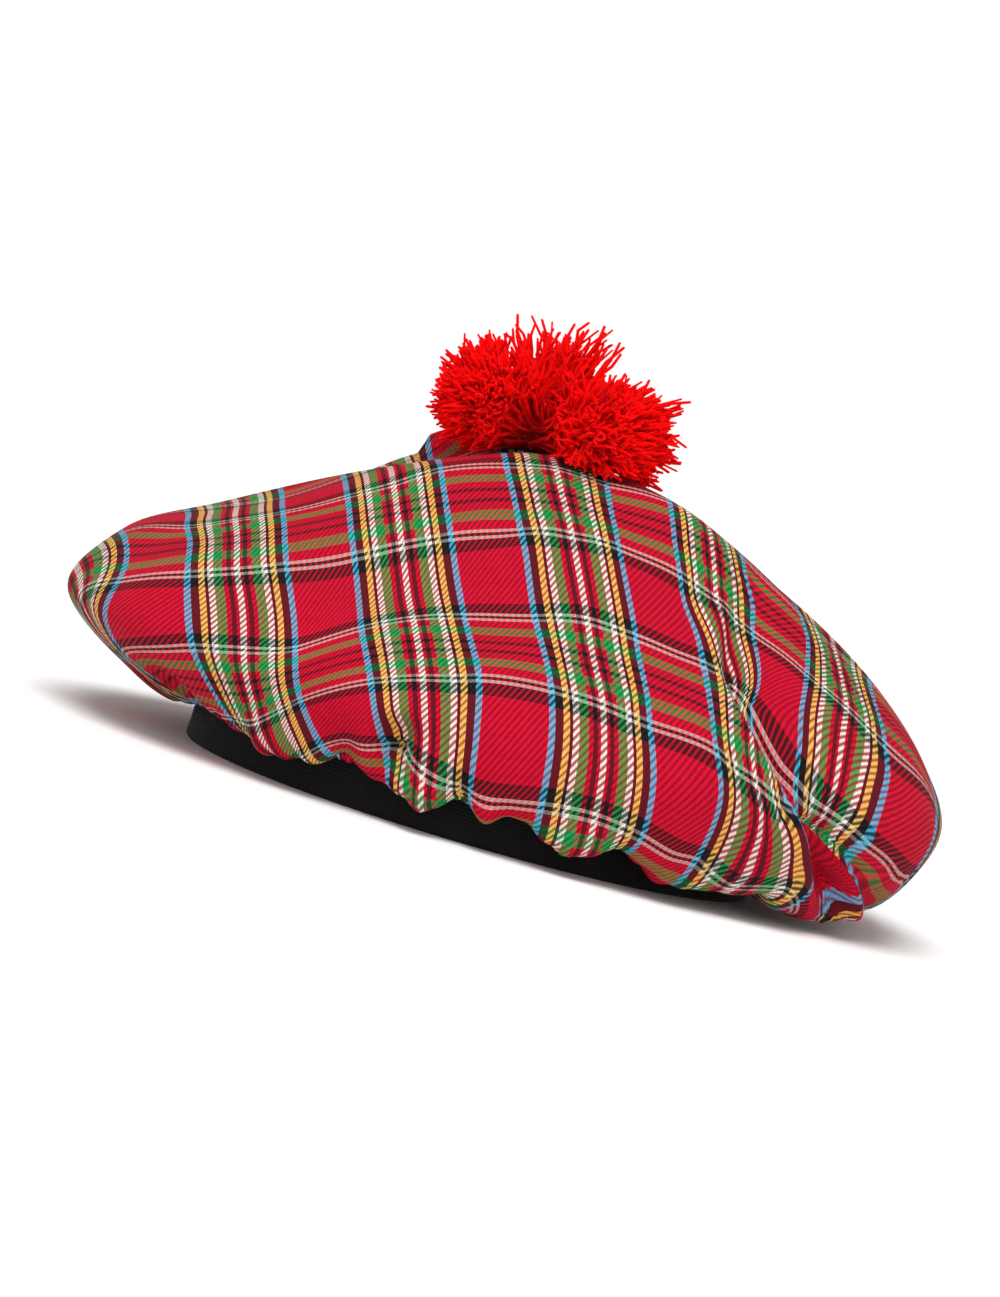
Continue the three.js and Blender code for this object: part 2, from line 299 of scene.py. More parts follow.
def cloth(turns, runs, waves=True):
    """Outside of the cloth for turns (n, m) and runs (n, m), one section line for each point's own turn."""
    shape = turns.shape
    flat_turns, flat_runs = turns.ravel(), runs.ravel()
    out_r, out_z, nr, nz = (np.zeros(flat_turns.size) for _ in range(4))
    for start in range(0, flat_turns.size, 6000):
        part = slice(start, start + 6000)
        line, length = section_lines(flat_turns[part])
        rows = np.arange(len(line))

        def at(run):
            want = np.clip(run, 0, 1) * length[:, -1]
            k = np.clip((length <= want[:, None]).sum(1) - 1, 0, length.shape[1] - 2)
            u = (want - length[rows, k]) / (length[rows, k + 1] - length[rows, k])
            return line[rows, k] + (line[rows, k + 1] - line[rows, k]) * u[:, None]

        here = at(flat_runs[part])
        along = at(flat_runs[part] + 0.004) - at(flat_runs[part] - 0.004)
        along /= np.linalg.norm(along, axis=1)[:, None]
        out_r[part], out_z[part] = here.T
        nr[part], nz[part] = -along[:, 1], along[:, 0]
    height = fold_height(flat_turns, flat_runs, out_r)
    if waves:
        height = height + small_waves(flat_turns, flat_runs)
    r, z = out_r + nr * height, out_z + nz * height
    angle = np.radians(flat_turns)
    return np.stack([r * np.cos(angle), r * np.sin(angle), z], -1).reshape(shape + (3,))


# ---------------------------------------------------------------- how the tartan lies on the crown
# Yarns are counted from the middle of the front: across the hat for the warp, down it for the weft.
WARP_REPEAT, WEFT_REPEAT = 112, 112
WARP_HALF = [("white", 2), ("red", 2), ("black", 3), ("red", 3), ("green", 6), ("white", 4), ("black", 2), ("yellow", 4),
             ("black", 5), ("blue", 4)]
WEFT_HALF = [("red", 3), ("black", 3), ("red", 6), ("green", 7), ("red", 6), ("white", 2), ("black", 2), ("white", 2),
             ("black", 7)]
# colour, and how strongly that yarn covers the one it crosses
YARNS = {
    "red": ((0.5022, 0.0032, 0.0235), 0.38),
    "black": ((0.0122, 0.0073, 0.0097), 1.00),
    "white": ((0.7128, 0.6804, 0.5994), 0.36),
    "yellow": ((0.7533, 0.4374, 0.0972), 0.82),
    "blue": ((0.0446, 0.3564, 0.5670), 0.82),
    "green": ((0.0113, 0.2511, 0.0607), 0.66),
}

# Where stripes lie on the gathered cloth: warp yarn, weft yarn (None where only one is known), turn, length from the top.
LINES = [
    (-257, -28, 200.7, 128.5), (-224, -28, 203.0, 114.2), (-191, -28, 207.1, 100.9), (-145, -28, 212.2, 81.7),
    (-112, -28, 215.7, 67.3), (-79, -28, 217.1, 50.3), (-33, -28, 228.2, 29.6), (0, -28, 257.0, 17.4),
    (33, -28, 303.9, 23.5), (-303, -28, 189.5, 145.8), (-191, -84, 196.7, 95.5), (-224, -84, 189.6, 108.4),
    (-336, 28, 197.5, 168.5), (-303, 28, 206.1, 157.5), (-257, 28, 216.0, 143.0), (-224, 28, 221.2, 131.8),
    (-191, 28, 225.0, 118.6), (-145, 28, 230.6, 99.4), (-112, 28, 235.6, 85.5), (-79, 28, 243.4, 72.7),
    (-33, 28, 260.7, 59.2), (0, 28, 277.8, 54.7), (33, 28, 294.4, 57.2), (79, 28, 310.4, 70.1), (112, 28, 316.2, 82.5),
    (145, 28, 324.6, 94.3), (191, 28, 329.9, 113.1), (224, 28, 332.6, 128.0), (257, 28, 335.3, 142.9),
    (-303, 84, 204.9, 185.0), (-257, 84, 224.1, 159.9), (-224, 84, 231.5, 151.1), (-191, 84, 238.2, 142.6),
    (-145, 84, 244.9, 126.6), (-112, 84, 250.7, 114.0), (-79, 84, 258.4, 103.6), (-33, 84, 272.1, 93.5),
    (0, 84, 283.8, 90.1), (33, 84, 294.4, 94.9), (79, 84, 306.6, 105.9), (112, 84, 316.7, 110.9), (145, 84, 317.1, 121.7),
    (191, 84, 320.0, 150.0), (224, 84, 323.2, 161.2), (257, 84, 329.9, 173.6), (-224, 140, 234.4, 169.7),
    (-191, 140, 241.6, 155.0), (-145, 140, 250.5, 140.9), (-112, 140, 257.2, 132.7), (-79, 140, 265.5, 125.8),
    (-33, 140, 277.4, 123.3), (0, 140, 286.0, 126.2), (33, 140, 293.1, 132.1), (79, 140, 302.7, 139.7),
    (112, 140, 309.8, 148.4), (145, 140, 314.4, 156.5), (-191, 196, 245.3, 167.3), (-145, 196, 254.5, 159.8),
    (-79, 196, 269.5, 165.5), (-33, 196, 280.2, 161.3), (0, 196, 288.2, 161.5), (33, 196, 295.6, 165.7),
    (79, 196, 304.0, 171.5), (112, 196, 313.3, 186.3), (145, None, 331.5, 73.9), (145, None, 327.9, 86.0),
    (145, None, 317.8, 117.1), (191, None, 348.0, 87.3), (191, None, 337.9, 100.8), (191, None, 326.5, 119.0),
    (191, None, 321.3, 133.7), (257, None, 350.5, 120.1), (257, None, 342.0, 129.3), (257, None, 333.3, 151.7),
    (257, None, 329.1, 165.9), (79, None, 308.1, 92.2), (79, None, 303.7, 151.3),
    (79, None, 304.0, 166.4), (112, None, 311.1, 156.6), (112, None, 312.4, 167.1), (None, 28, 322.1, 89.8),
    (None, 28, 331.3, 120.5), (None, 28, 333.9, 137.4), (None, 84, 308.1, 108.7), (None, 84, 317.1, 131.1),
    (None, 84, 318.2, 142.5), (None, 84, 321.4, 156.7), (None, 84, 335.0, 179.1), (None, 140, 305.9, 144.1),
    (None, 140, 311.5, 151.5), (None, 196, 300.7, 170.1), (None, 196, 307.1, 176.8), (112, None, 312.7, 172.4),
    (112, None, 313.8, 182.5), (129, None, 316.4, 170.4), (129, None, 318.4, 181.7), (136, None, 319.8, 178.3),
    (145, None, 325.0, 183.6), (141, None, 315.2, 157.7), (126.5, None, 313.0, 157.2), (None, 165, 323.3, 177.2),
    (None, 190, 321.2, 185.6), (None, 196, 310.2, 182.1), (None, 198, 314.3, 187.4),
    (235, None, 324.3, 167.3), (205, None, 322.3, 162.8),
    (303, None, 344.3, 182.6), (303, None, 350.6, 164.7), (None, 84, 343.5, 186.2),
    (None, 96, 339.5, 191.4), (None, 28, 345.1, 156.8), (272, None, 334.0, 179.6), (288, None, 340.1, 186.1),
    (257, None, 329.0, 170.9), (257, None, 328.3, 175.2), (257, None, 329.6, 181.1), (257, None, 331.9, 186.6),
    (257, None, 334.1, 190.8), (257, None, 337.4, 196.8), (248, None, 327.4, 161.9), (248, None, 326.9, 166.9),
    (248, None, 326.7, 172.1), (242, None, 326.6, 174.6), (None, 84, 330.0, 174.0), (None, 84, 340.0, 185.2),
    (None, 96, 329.8, 179.0), (None, 96, 335.6, 185.7), (None, 107, 332.5, 187.0), (None, 107, 334.9, 190.3),
    (None, 78, 333.4, 174.4),
]
# The unseen back: straight cloth, its warp turned a little from the front's.
BACK_TWIST, BACK_WARP_AT, BACK_WEFT_AT = math.radians(12), -8.0, -78.0
WARP_PITCH, WEFT_PITCH = 0.49, 0.60
BACK_TURNS, BACK_LENGTHS = range(20, 161, 20), (120.0, 200.0)
EASE = 8.0                                  # how far a stripe may ease from its place
# The crease hides cloth inside it, so the stripes before it and after it are fitted apart. Higher than SHARED_RUN it hides
# none and both share their stripes; the cloth before it reaches LEFT_TO degrees past its bottom.
SHARED_RUN, LEFT_TO = 0.51, 0.9
JOIN_WIDTH, JOIN_FROM, JOIN_TO = 22.0, 0.36, 0.51


def flat_place(turn, length):
    return np.stack([length * np.cos(np.radians(turn)), length * np.sin(np.radians(turn))], -1)


def spread(d2):
    return 0.5 * d2 * np.log(d2 + 1e-9)


def fit_yarns(turn, length, value):
    """A smooth surface of yarn numbers over the flat cloth."""
    at = flat_place(turn, length)
    n = len(at)
    plane = np.c_[np.ones(n), at]
    whole = np.block([[spread(((at[:, None] - at[None]) ** 2).sum(-1)) + EASE * np.eye(n), plane], [plane.T, np.zeros((3, 3))]])
    weight = np.linalg.solve(whole, np.r_[value, np.zeros(3)])

    def yarn(turn, length):
        q = flat_place(turn, length)
        out = weight[n] + q @ weight[n + 1:]
        for start in range(0, len(q), 8000):
            part = slice(start, start + 8000)
            out[part] += spread(((q[part, None] - at[None]) ** 2).sum(-1)) @ weight[:n]
        return out

    return yarn


def yarn_maps():
    """For warp and weft, the yarn number before the crease and after it."""
    turn = np.array([row[2] for row in LINES])
    length = np.array([row[3] for row in LINES])
    run = length / total_length(turn)
    past = wrap(turn - fold_path(CREASE, run))
    sides = ((past < LEFT_TO) | (run < SHARED_RUN), (past >= LEFT_TO) | (run < SHARED_RUN))
    back_turn, back_length = (x.ravel() for x in np.meshgrid(np.array(BACK_TURNS, float), np.array(BACK_LENGTHS), indexing="ij"))
    x, y = flat_place(back_turn, back_length).T
    across = x * math.cos(BACK_TWIST) + y * math.sin(BACK_TWIST)
    down = y * math.cos(BACK_TWIST) - x * math.sin(BACK_TWIST)
    back_value = (BACK_WARP_AT + across / WARP_PITCH, BACK_WEFT_AT - down / WEFT_PITCH)
    made = []
    for which in (0, 1):
        known = np.array([row[which] is not None for row in LINES])
        value = np.array([row[which] if row[which] is not None else 0 for row in LINES], float)
        made.append([fit_yarns(np.r_[turn[known & side], back_turn], np.r_[length[known & side], back_length],
                               np.r_[value[known & side], back_value[which]]) for side in sides])
    return made


# The tongue lies between the crease and an edge this many degrees past it. It shows the cloth that the crease hides higher up.
TONGUE_FROM, TONGUE_GROWS, TONGUE_LEAST, TONGUE_MOST = 0.73, 0.095, 0.3, 8.2
TONGUE_REACH = 45.0
TONGUE_WARP, TONGUE_WEFT = 147.0, 158.7
LIP_WARP, LIP_FROM, LIP_TO, LIP_RISE = 189.0, 0.815, 0.853, 0.05   # the first stripe runs along the lip, which rises to the edge


def tongue_edge(run):
    return TONGUE_LEAST + (TONGUE_MOST - TONGUE_LEAST) * smooth((run - TONGUE_FROM) / TONGUE_GROWS)


def tongue_yarns(turn, run, past, r):
    """Warp and weft yarn numbers on the tongue; its stripes turn along its lip."""
    length = total_length(turn)
    across = np.radians(np.maximum(past, 0)) * r
    level = run + LIP_RISE * np.clip(past / tongue_edge(run), 0, 1)
    warp = TONGUE_WARP + 0.8 * across / WARP_PITCH
    warp += (LIP_WARP - warp) * smooth((level - LIP_FROM) / (LIP_TO - LIP_FROM)) + np.maximum(level - LIP_TO, 0) * length / WARP_PITCH
    weft = TONGUE_WEFT + 0.55 * (run - TONGUE_FROM) * length / WEFT_PITCH
    return np.stack([warp, weft], -1)


def yarns_at(maps, turn, run, past):
    """Warp and weft yarn numbers; past is degrees past the crease."""
    length = run * total_length(turn)
    width = JOIN_WIDTH * (1 - smooth((run - JOIN_FROM) / (JOIN_TO - JOIN_FROM))) + 0.02
    after = smooth(0.5 + past / (2 * width))
    after = np.where(past > 0, after - 0.5 * smooth((past - 60) / 120), after + 0.5 * smooth((-past - 150) / 30))
    return np.stack([(1 - after) * left(turn, length) + after * right(turn, length) for left, right in maps], -1)


def repeat_of(half, repeat):
    """Runs of one repeat, from the edge of the stripes through their middle to the far edge, then the plain ground."""
    runs = [list(run) for run in reversed(half)]
    for colour, count in half:
        if runs[-1][0] == colour:
            runs[-1][1] += count
        else:
            runs.append([colour, count])
    used = sum(count for _, count in runs)
    return runs + [["red", repeat - used]], used // 2


def tartan_material():
    n = Nodes("tartan_twill")
    u, v = n.uv("Yarn")
    warp = n.math("MULTIPLY", u, 100.0)
    weft = n.math("MULTIPLY", v, 100.0)
    warp_end, weft_end = n.math("FLOOR", warp), n.math("FLOOR", weft)

    def striped(end, half, repeat):
        runs, before = repeat_of(half, repeat)
        at = n.math("FRACT", n.math("DIVIDE", n.math("ADD", end, before + 0.5), float(repeat)))
        ramp = n.add("ShaderNodeValToRGB")
        n.feed(ramp.inputs[0], at)
        ramp.color_ramp.interpolation = "CONSTANT"
        stops = ramp.color_ramp.elements
        stops.remove(stops[1])
        done = 0
        for k, (colour, count) in enumerate(runs):
            stop = stops[0] if k == 0 else stops.new(done / repeat)
            stop.position = done / repeat
            shade, cover = YARNS[colour]
            stop.color = (*shade, cover)
            done += count
        return ramp.outputs[0], ramp.outputs[1]

    warp_colour, warp_covers = striped(warp_end, WARP_HALF, WARP_REPEAT)
    weft_colour, weft_covers = striped(weft_end, WEFT_HALF, WEFT_REPEAT)

    # two-and-two twill, one step on for each end: slanting ridges of warp with slanting lines of weft between them
    pi = math.pi
    stepped = n.math("ADD", warp_end, weft_end)
    slope = n.math("MULTIPLY_ADD", n.math("ADD", warp, weft), 0.65, n.math("MULTIPLY_ADD", stepped, 0.35, 0.35))
    slant = n.math("SINE", n.math("MULTIPLY", n.math("FRACT", n.math("DIVIDE", slope, 4.0)), 2 * pi))
    lean = n.math("MULTIPLY_ADD", n.math("SUBTRACT", warp_covers, weft_covers), 1.3, 0.12)
    cover = n.add("ShaderNodeMapRange", interpolation_type="SMOOTHSTEP")
    n.feed(cover.inputs[0], n.math("ADD", slant, lean))
    for k, value in enumerate((-0.85, 0.85, 0.18, 0.84)):
        cover.inputs[1 + k].default_value = value
    warp_on_top = cover.outputs[0]
    woven = n.mix(warp_on_top, weft_colour, warp_colour)

    # each yarn is round, and the weft lies lower than the ridges of warp
    round_warp = n.math("SINE", n.math("MULTIPLY", n.math("FRACT", warp), pi))
    round_weft = n.math("SINE", n.math("MULTIPLY", n.math("FRACT", weft), pi))
    rounded = n.math("ADD", n.math("MULTIPLY", round_warp, warp_on_top),
                     n.math("MULTIPLY", round_weft, n.math("SUBTRACT", 1.0, warp_on_top)))
    height = n.math("MULTIPLY_ADD", slant, 0.35, rounded)

    # yarn to yarn and place to place the dye and the nap vary a little
    uneven = n.math("ADD", n.noise(0.37, 1.0, w=warp_end), n.noise(0.41, 1.0, w=n.math("ADD", weft_end, 500.0)))
    nap = n.noise(55.0, 3.0, vector=n.place())
    fibre = n.noise(1400.0, 2.0, vector=n.place())
    # painted shade: each yarn darker at its sides than on its crown, and the low weft lines between the warp ridges
    # darker; then the dye, nap and fibre vary
    shade = n.math("MULTIPLY_ADD", rounded, 0.20, 0.82)
    shade = n.math("MULTIPLY", shade, n.math("MULTIPLY_ADD", slant, 0.36, 0.91))
    shade = n.math("MULTIPLY", shade, n.math("MULTIPLY_ADD", uneven, 0.18, 0.82))
    shade = n.math("MULTIPLY", shade, n.math("MULTIPLY_ADD", nap, 0.16, 0.92))
    shade = n.math("MULTIPLY", shade, n.math("MULTIPLY_ADD", fibre, 0.36, 0.82))
    n.feed(n.shader.inputs["Base Color"], n.mix(1.0, woven, shade, "MULTIPLY"))
    n.feed(n.shader.inputs["Roughness"], n.math("MULTIPLY_ADD", fibre, 0.16, 0.78))
    n.feed(n.shader.inputs["Normal"], n.bump(n.math("ADD", height, n.math("MULTIPLY", fibre, 0.25)), 0.5, 0.00022))
    n.shader.inputs["Specular IOR Level"].default_value = 0.08
    n.shader.inputs["Sheen Weight"].default_value = 0.02
    n.shader.inputs["Sheen Roughness"].default_value = 0.45
    n.shader.inputs["Sheen Tint"].default_value = (1.0, 0.6, 0.6, 1.0)
    return n.material


# columns of the cloth: turn_from, turn_to, columns
CLOTH_COLUMNS = [(225, 312, 150), (312, 334.5, 74), (334.5, 334.8, 16), (334.8, 346, 36), (346, 585, 156)]
CLOTH_ROWS = 98


def make_crown():
    columns = np.concatenate([a + (b - a) * np.arange(count) / count for a, b, count in CLOTH_COLUMNS])
    x = np.arange(1, CLOTH_ROWS + 1) / CLOTH_ROWS
    runs = x + 0.09 * np.sin(math.pi * x)
    base, run = np.meshgrid(columns, runs, indexing="xy")          # rows by columns
    t = np.clip((run - CREASE[3]) / (CREASE[4] - CREASE[3]), 0, 1)
    beyond = wrap(base - CREASE[0])
    opened = np.where(beyond < TONGUE_LEAST, np.clip(beyond / TONGUE_LEAST, 0, 1), smooth(1 - (beyond - TONGUE_LEAST) / TONGUE_REACH))
    turn = (base + CREASE[2] * 4 * t * (1 - t) * smooth(1 - np.abs(beyond) / LEAN_REACH)
            + (tongue_edge(run) - TONGUE_LEAST) * opened)
    outer = cloth(turn, run)
    d_run, d_turn = 0.004, 0.35
    along = cloth(turn, np.minimum(run + d_run, 1.0)) - cloth(turn, run - d_run)
    around = cloth(turn + d_turn, run) - cloth(turn - d_turn, run)
    normal = np.cross(along, around)
    normal /= np.linalg.norm(normal, axis=-1)[..., None]
    inner = outer - normal * CLOTH_WALL

    rows, count = run.shape
    seam = int(np.argmin(np.abs(columns - CREASE[0])))
    edge = int(np.argmin(np.abs(columns - CREASE[0] - TONGUE_LEAST)))
    past = wrap(turn - fold_path(CREASE, run))
    maps = yarn_maps()
    yarn = []                               # as seen from the faces before the crease, from those after it, and from the tongue
    for side in (-0.05, 0.05):
        near = past.copy()
        near[:, seam] = side
        yarn.append(yarns_at(maps, turn.ravel(), run.ravel(), near.ravel()) / 100.0)
    yarn.append(tongue_yarns(turn, run, past, np.hypot(outer[..., 0], outer[..., 1])).reshape(-1, 2) / 100.0)

    def panel(j, i):
        if i < seam:
            return 0
        return 2 if i < edge and runs[j] > TONGUE_FROM else 1

    zero = np.zeros(1)
    top_yarn = yarns_at(maps, zero, zero, zero) / 100.0

    top, under = [[0, 0, CROWN_TOP_Z]], [[0, 0, CROWN_TOP_Z - CLOTH_WALL]]
    points = np.concatenate([top, outer.reshape(-1, 3), inner.reshape(-1, 3), under])
    yarn_at = np.stack([np.concatenate([top_yarn, y, y, top_yarn]) for y in yarn])
    first_outer, first_inner, last = 1, 1 + rows * count, 1 + 2 * rows * count

    faces, spread_uv, after = [], [], []
    OUTER_FROM = 0.22                       # share of the bake's height that the inside takes

    def place(j, i, inside):
        share = runs[j] if j >= 0 else 0.0
        low, high = ((0.004, OUTER_FROM - 0.004) if inside else (OUTER_FROM + 0.004, 0.996))
        return (0.002 + 0.996 * i / count, low + (high - low) * share)

    for i in range(count):
        k = (i + 1) % count
        faces.append((0, first_outer + i, first_outer + k))
        spread_uv += [place(-1, i + 0.5, False), place(0, i, False), place(0, i + 1, False)]
        faces.append((last, first_inner + k, first_inner + i))
        spread_uv += [place(-1, i + 0.5, True), place(0, i + 1, True), place(0, i, True)]
        after += [panel(0, i)] * 6
    for j in range(rows - 1):
        a, b = first_outer + j * count, first_outer + (j + 1) * count
        c, d = first_inner + j * count, first_inner + (j + 1) * count
        for i in range(count):
            k = (i + 1) % count
            faces.append((a + i, b + i, b + k, a + k))
            spread_uv += [place(j, i, False), place(j + 1, i, False), place(j + 1, i + 1, False), place(j, i + 1, False)]
            faces.append((c + i, c + k, d + k, d + i))
            spread_uv += [place(j, i, True), place(j, i + 1, True), place(j + 1, i + 1, True), place(j + 1, i, True)]
            after += [panel(j, i)] * 8
    a, c = first_outer + (rows - 1) * count, first_inner + (rows - 1) * count
    for i in range(count):
        k = (i + 1) % count
        faces.append((a + i, c + i, c + k, a + k))
        u0, u1 = 0.002 + 0.996 * i / count, 0.002 + 0.996 * (i + 1) / count
        spread_uv += [(u0, OUTER_FROM - 0.001), (u0, OUTER_FROM + 0.001), (u1, OUTER_FROM + 0.001), (u1, OUTER_FROM - 0.001)]
        after += [panel(rows - 1, i)] * 4
    corners = np.concatenate([np.array(f) for f in faces])
    piece = make_piece("crown_cloth", to_row(points), faces, {"Yarn": yarn_at[np.array(after), corners], "OFBake": np.array(spread_uv)}, tartan_material())
    return piece, outer


crown, crown_outside = make_crown()
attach(crown, "root")
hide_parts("crown")


# ---------------------------------------------------------------- the headband
BAND_OUTER_R, BAND_THICK, BAND_HEIGHT, BAND_EDGE_R = 93.2, 3.2, 22.0, 1.2
RIB_PITCH, RIB_HEIGHT = 1.1, 0.16
BAND_SEGMENTS = 240


def band_material():
    n = Nodes("black_rib")
    u, v = n.uv("Band")                     # millimetres round the band and across it
    thread = n.math("SINE", n.math("MULTIPLY", u, 2 * math.pi / 0.9))
    rib = n.math("SINE", n.math("MULTIPLY", v, 2 * math.pi / RIB_PITCH))
    fuzz = n.noise(900.0, 3.0, vector=n.place())
    blotch = n.noise(60.0, 2.0, vector=n.place())
    height = n.math("ADD", n.math("MULTIPLY", thread, n.math("MULTIPLY_ADD", rib, 0.25, 0.35)), fuzz)
    shade = n.math("MULTIPLY_ADD", fuzz, 0.8, n.math("MULTIPLY_ADD", blotch, 0.5, 0.35))
    n.feed(n.shader.inputs["Base Color"], n.mix(1.0, (0.0062, 0.0052, 0.0057, 1.0), shade, "MULTIPLY"))
    n.feed(n.shader.inputs["Normal"], n.bump(height, 0.5, 0.0002))
    n.feed(n.shader.inputs["Roughness"], n.math("MULTIPLY_ADD", fuzz, 0.2, 0.7))
    n.shader.inputs["Specular IOR Level"].default_value = 0.15
    n.shader.inputs["Sheen Weight"].default_value = 0.03
    n.shader.inputs["Sheen Roughness"].default_value = 0.5
    return n.material


def make_band():
    inner_r = BAND_OUTER_R - BAND_THICK
    profile = []                            # radius, height, and how far a rib may stand out there

    def corner(r, z, start):
        for k in range(7):
            a = math.radians(start + 15 * k)
            profile.append((r + BAND_EDGE_R * math.cos(a), z + BAND_EDGE_R * math.sin(a), 0.0, 0.0))

    def wall(r, low, high, out, steps):
        for k in range(1, steps):
            z = low + (high - low) * k / steps
            share = min(1.0, 4 * k / steps, 4 * (steps - k) / steps)
            rib = RIB_HEIGHT * share * math.cos(2 * math.pi * z / RIB_PITCH)
            profile.append((r + out * (rib - RIB_HEIGHT * share), z, out, share))

    low, high = BAND_EDGE_R, BAND_HEIGHT - BAND_EDGE_R
    corner(BAND_OUTER_R - BAND_EDGE_R, low, 270)
    wall(BAND_OUTER_R, low, high, 1, 110)
    corner(BAND_OUTER_R - BAND_EDGE_R, high, 0)
    corner(inner_r + BAND_EDGE_R, high, 90)
    wall(inner_r, high, low, -1, 70)
    corner(inner_r + BAND_EDGE_R, low, 180)
    profile = np.array(profile)
    count, m = BAND_SEGMENTS, len(profile)
    angle = 2 * math.pi * np.arange(count) / count
    sag = 0.12 * np.cos(7 * angle + 0.6) + 0.08 * np.cos(17 * angle + 2.1)
    r = profile[:, 0][None] + (sag[:, None] - 0.2) * (profile[:, 2] * profile[:, 3])[None]
    points = np.stack([r * np.cos(angle)[:, None], r * np.sin(angle)[:, None], np.broadcast_to(profile[:, 1], r.shape)], -1)
    step = np.hypot(*np.diff(np.r_[profile[:, :2], profile[:1, :2]], axis=0).T)
    along = np.r_[0, np.cumsum(step)]
    faces, uv, bake = [], [], []
    for i in range(count):
        k = (i + 1) % count
        for j in range(m):
            p = (j + 1) % m
            faces.append((i * m + j, k * m + j, k * m + p, i * m + p))
            u0, u1 = BAND_OUTER_R * 2 * math.pi * i / count, BAND_OUTER_R * 2 * math.pi * (i + 1) / count
            uv += [(u0, along[j]), (u1, along[j]), (u1, along[j + 1]), (u0, along[j + 1])]
            whole = along[-1]
            bake += [(0.002 + 0.996 * a / count, 0.002 + 0.996 * b / whole)
                     for a, b in ((i, along[j]), (i + 1, along[j]), (i + 1, along[j + 1]), (i, along[j + 1]))]
    return make_piece("headband_rib", to_row(points.reshape(-1, 3)), faces, {"Band": np.array(uv), "OFBake": np.array(bake)}, band_material())


band = make_band()
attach(band, "root")
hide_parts("headband")


# ---------------------------------------------------------------- the pompom
# Cut yarn tied in the middle, fallen into puffs with a hollow between them at the front. For each puff:
# piece, yarns, centre x, y, z, reach to the yarn ends, least upward share of an end's direction, share of long tufts, their length
POMPOM_TIE = (-13.0, 5.0, 121.5)
PUFFS = [
    ("left", 1240, -30.0, -4.0, 130.0, 16.6, -1.0, 0.10, 1.14),
    ("left", 50, -17.0, -1.0, 136.0, 20.0, 0.45, 0.40, 1.12),
    ("right", 1240, 10.5, -4.0, 127.5, 18.3, -1.0, 0.28, 1.36),
    ("right", 50, -8.0, 0.0, 136.0, 22.0, 0.75, 0.40, 1.12),
    ("back", 1300, -10.0, 14.0, 129.0, 20.0, -1.0, 0.12, 1.16),
    ("back", 140, -24.0, 9.0, 119.0, 9.0, -1.0, 0.0, 1.0),
]
# the hollow at the front: middle x and z, half-width, half-height, how far back it goes, and how far at 0.7 of its size
HOLLOW = (-17.0, 123.5, 7.0, 9.0, 2.0, 9.0)
TUFTS, TUFT_PULL = 70, 0.5                  # the ends draw together in tufts
YARN_R, YARN_SIDES, YARN_STEPS = 0.56, 5, 12
SEED = 7


def cloth_height_table():
    """Height of the crown's cloth over a plan grid near the top."""
    reach, step = 72.0, 1.5
    side = np.arange(-reach, reach + step, step)
    near = crown_outside.reshape(-1, 3)
    near = near[(np.hypot(near[:, 0], near[:, 1]) < reach * 1.5) & (near[:, 2] > 60)]
    near = np.concatenate([near, [[0, 0, CROWN_TOP_Z]]])
    gx, gy = np.meshgrid(side, side, indexing="ij")
    heights = np.zeros(gx.size)
    q = np.stack([gx.ravel(), gy.ravel()], -1)
    for start in range(0, len(q), 500):
        d2 = ((q[start:start + 500, None] - near[None, :, :2]) ** 2).sum(-1)
        w = np.exp(-d2 / (2 * 1.6**2)) + 1e-12 / (1 + d2)
        heights[start:start + 500] = (w @ near[:, 2]) / w.sum(1)
    return side, heights.reshape(gx.shape)


SIDE, HEIGHTS = cloth_height_table()


def cloth_z(x, y):
    step = SIDE[1] - SIDE[0]
    fx = np.clip((x - SIDE[0]) / step, 0, len(SIDE) - 1.001)
    fy = np.clip((y - SIDE[0]) / step, 0, len(SIDE) - 1.001)
    i, j = fx.astype(int), fy.astype(int)
    u, v = fx - i, fy - j
    return ((1 - u) * ((1 - v) * HEIGHTS[i, j] + v * HEIGHTS[i, j + 1]) + u * ((1 - v) * HEIGHTS[i + 1, j] + v * HEIGHTS[i + 1, j + 1]))


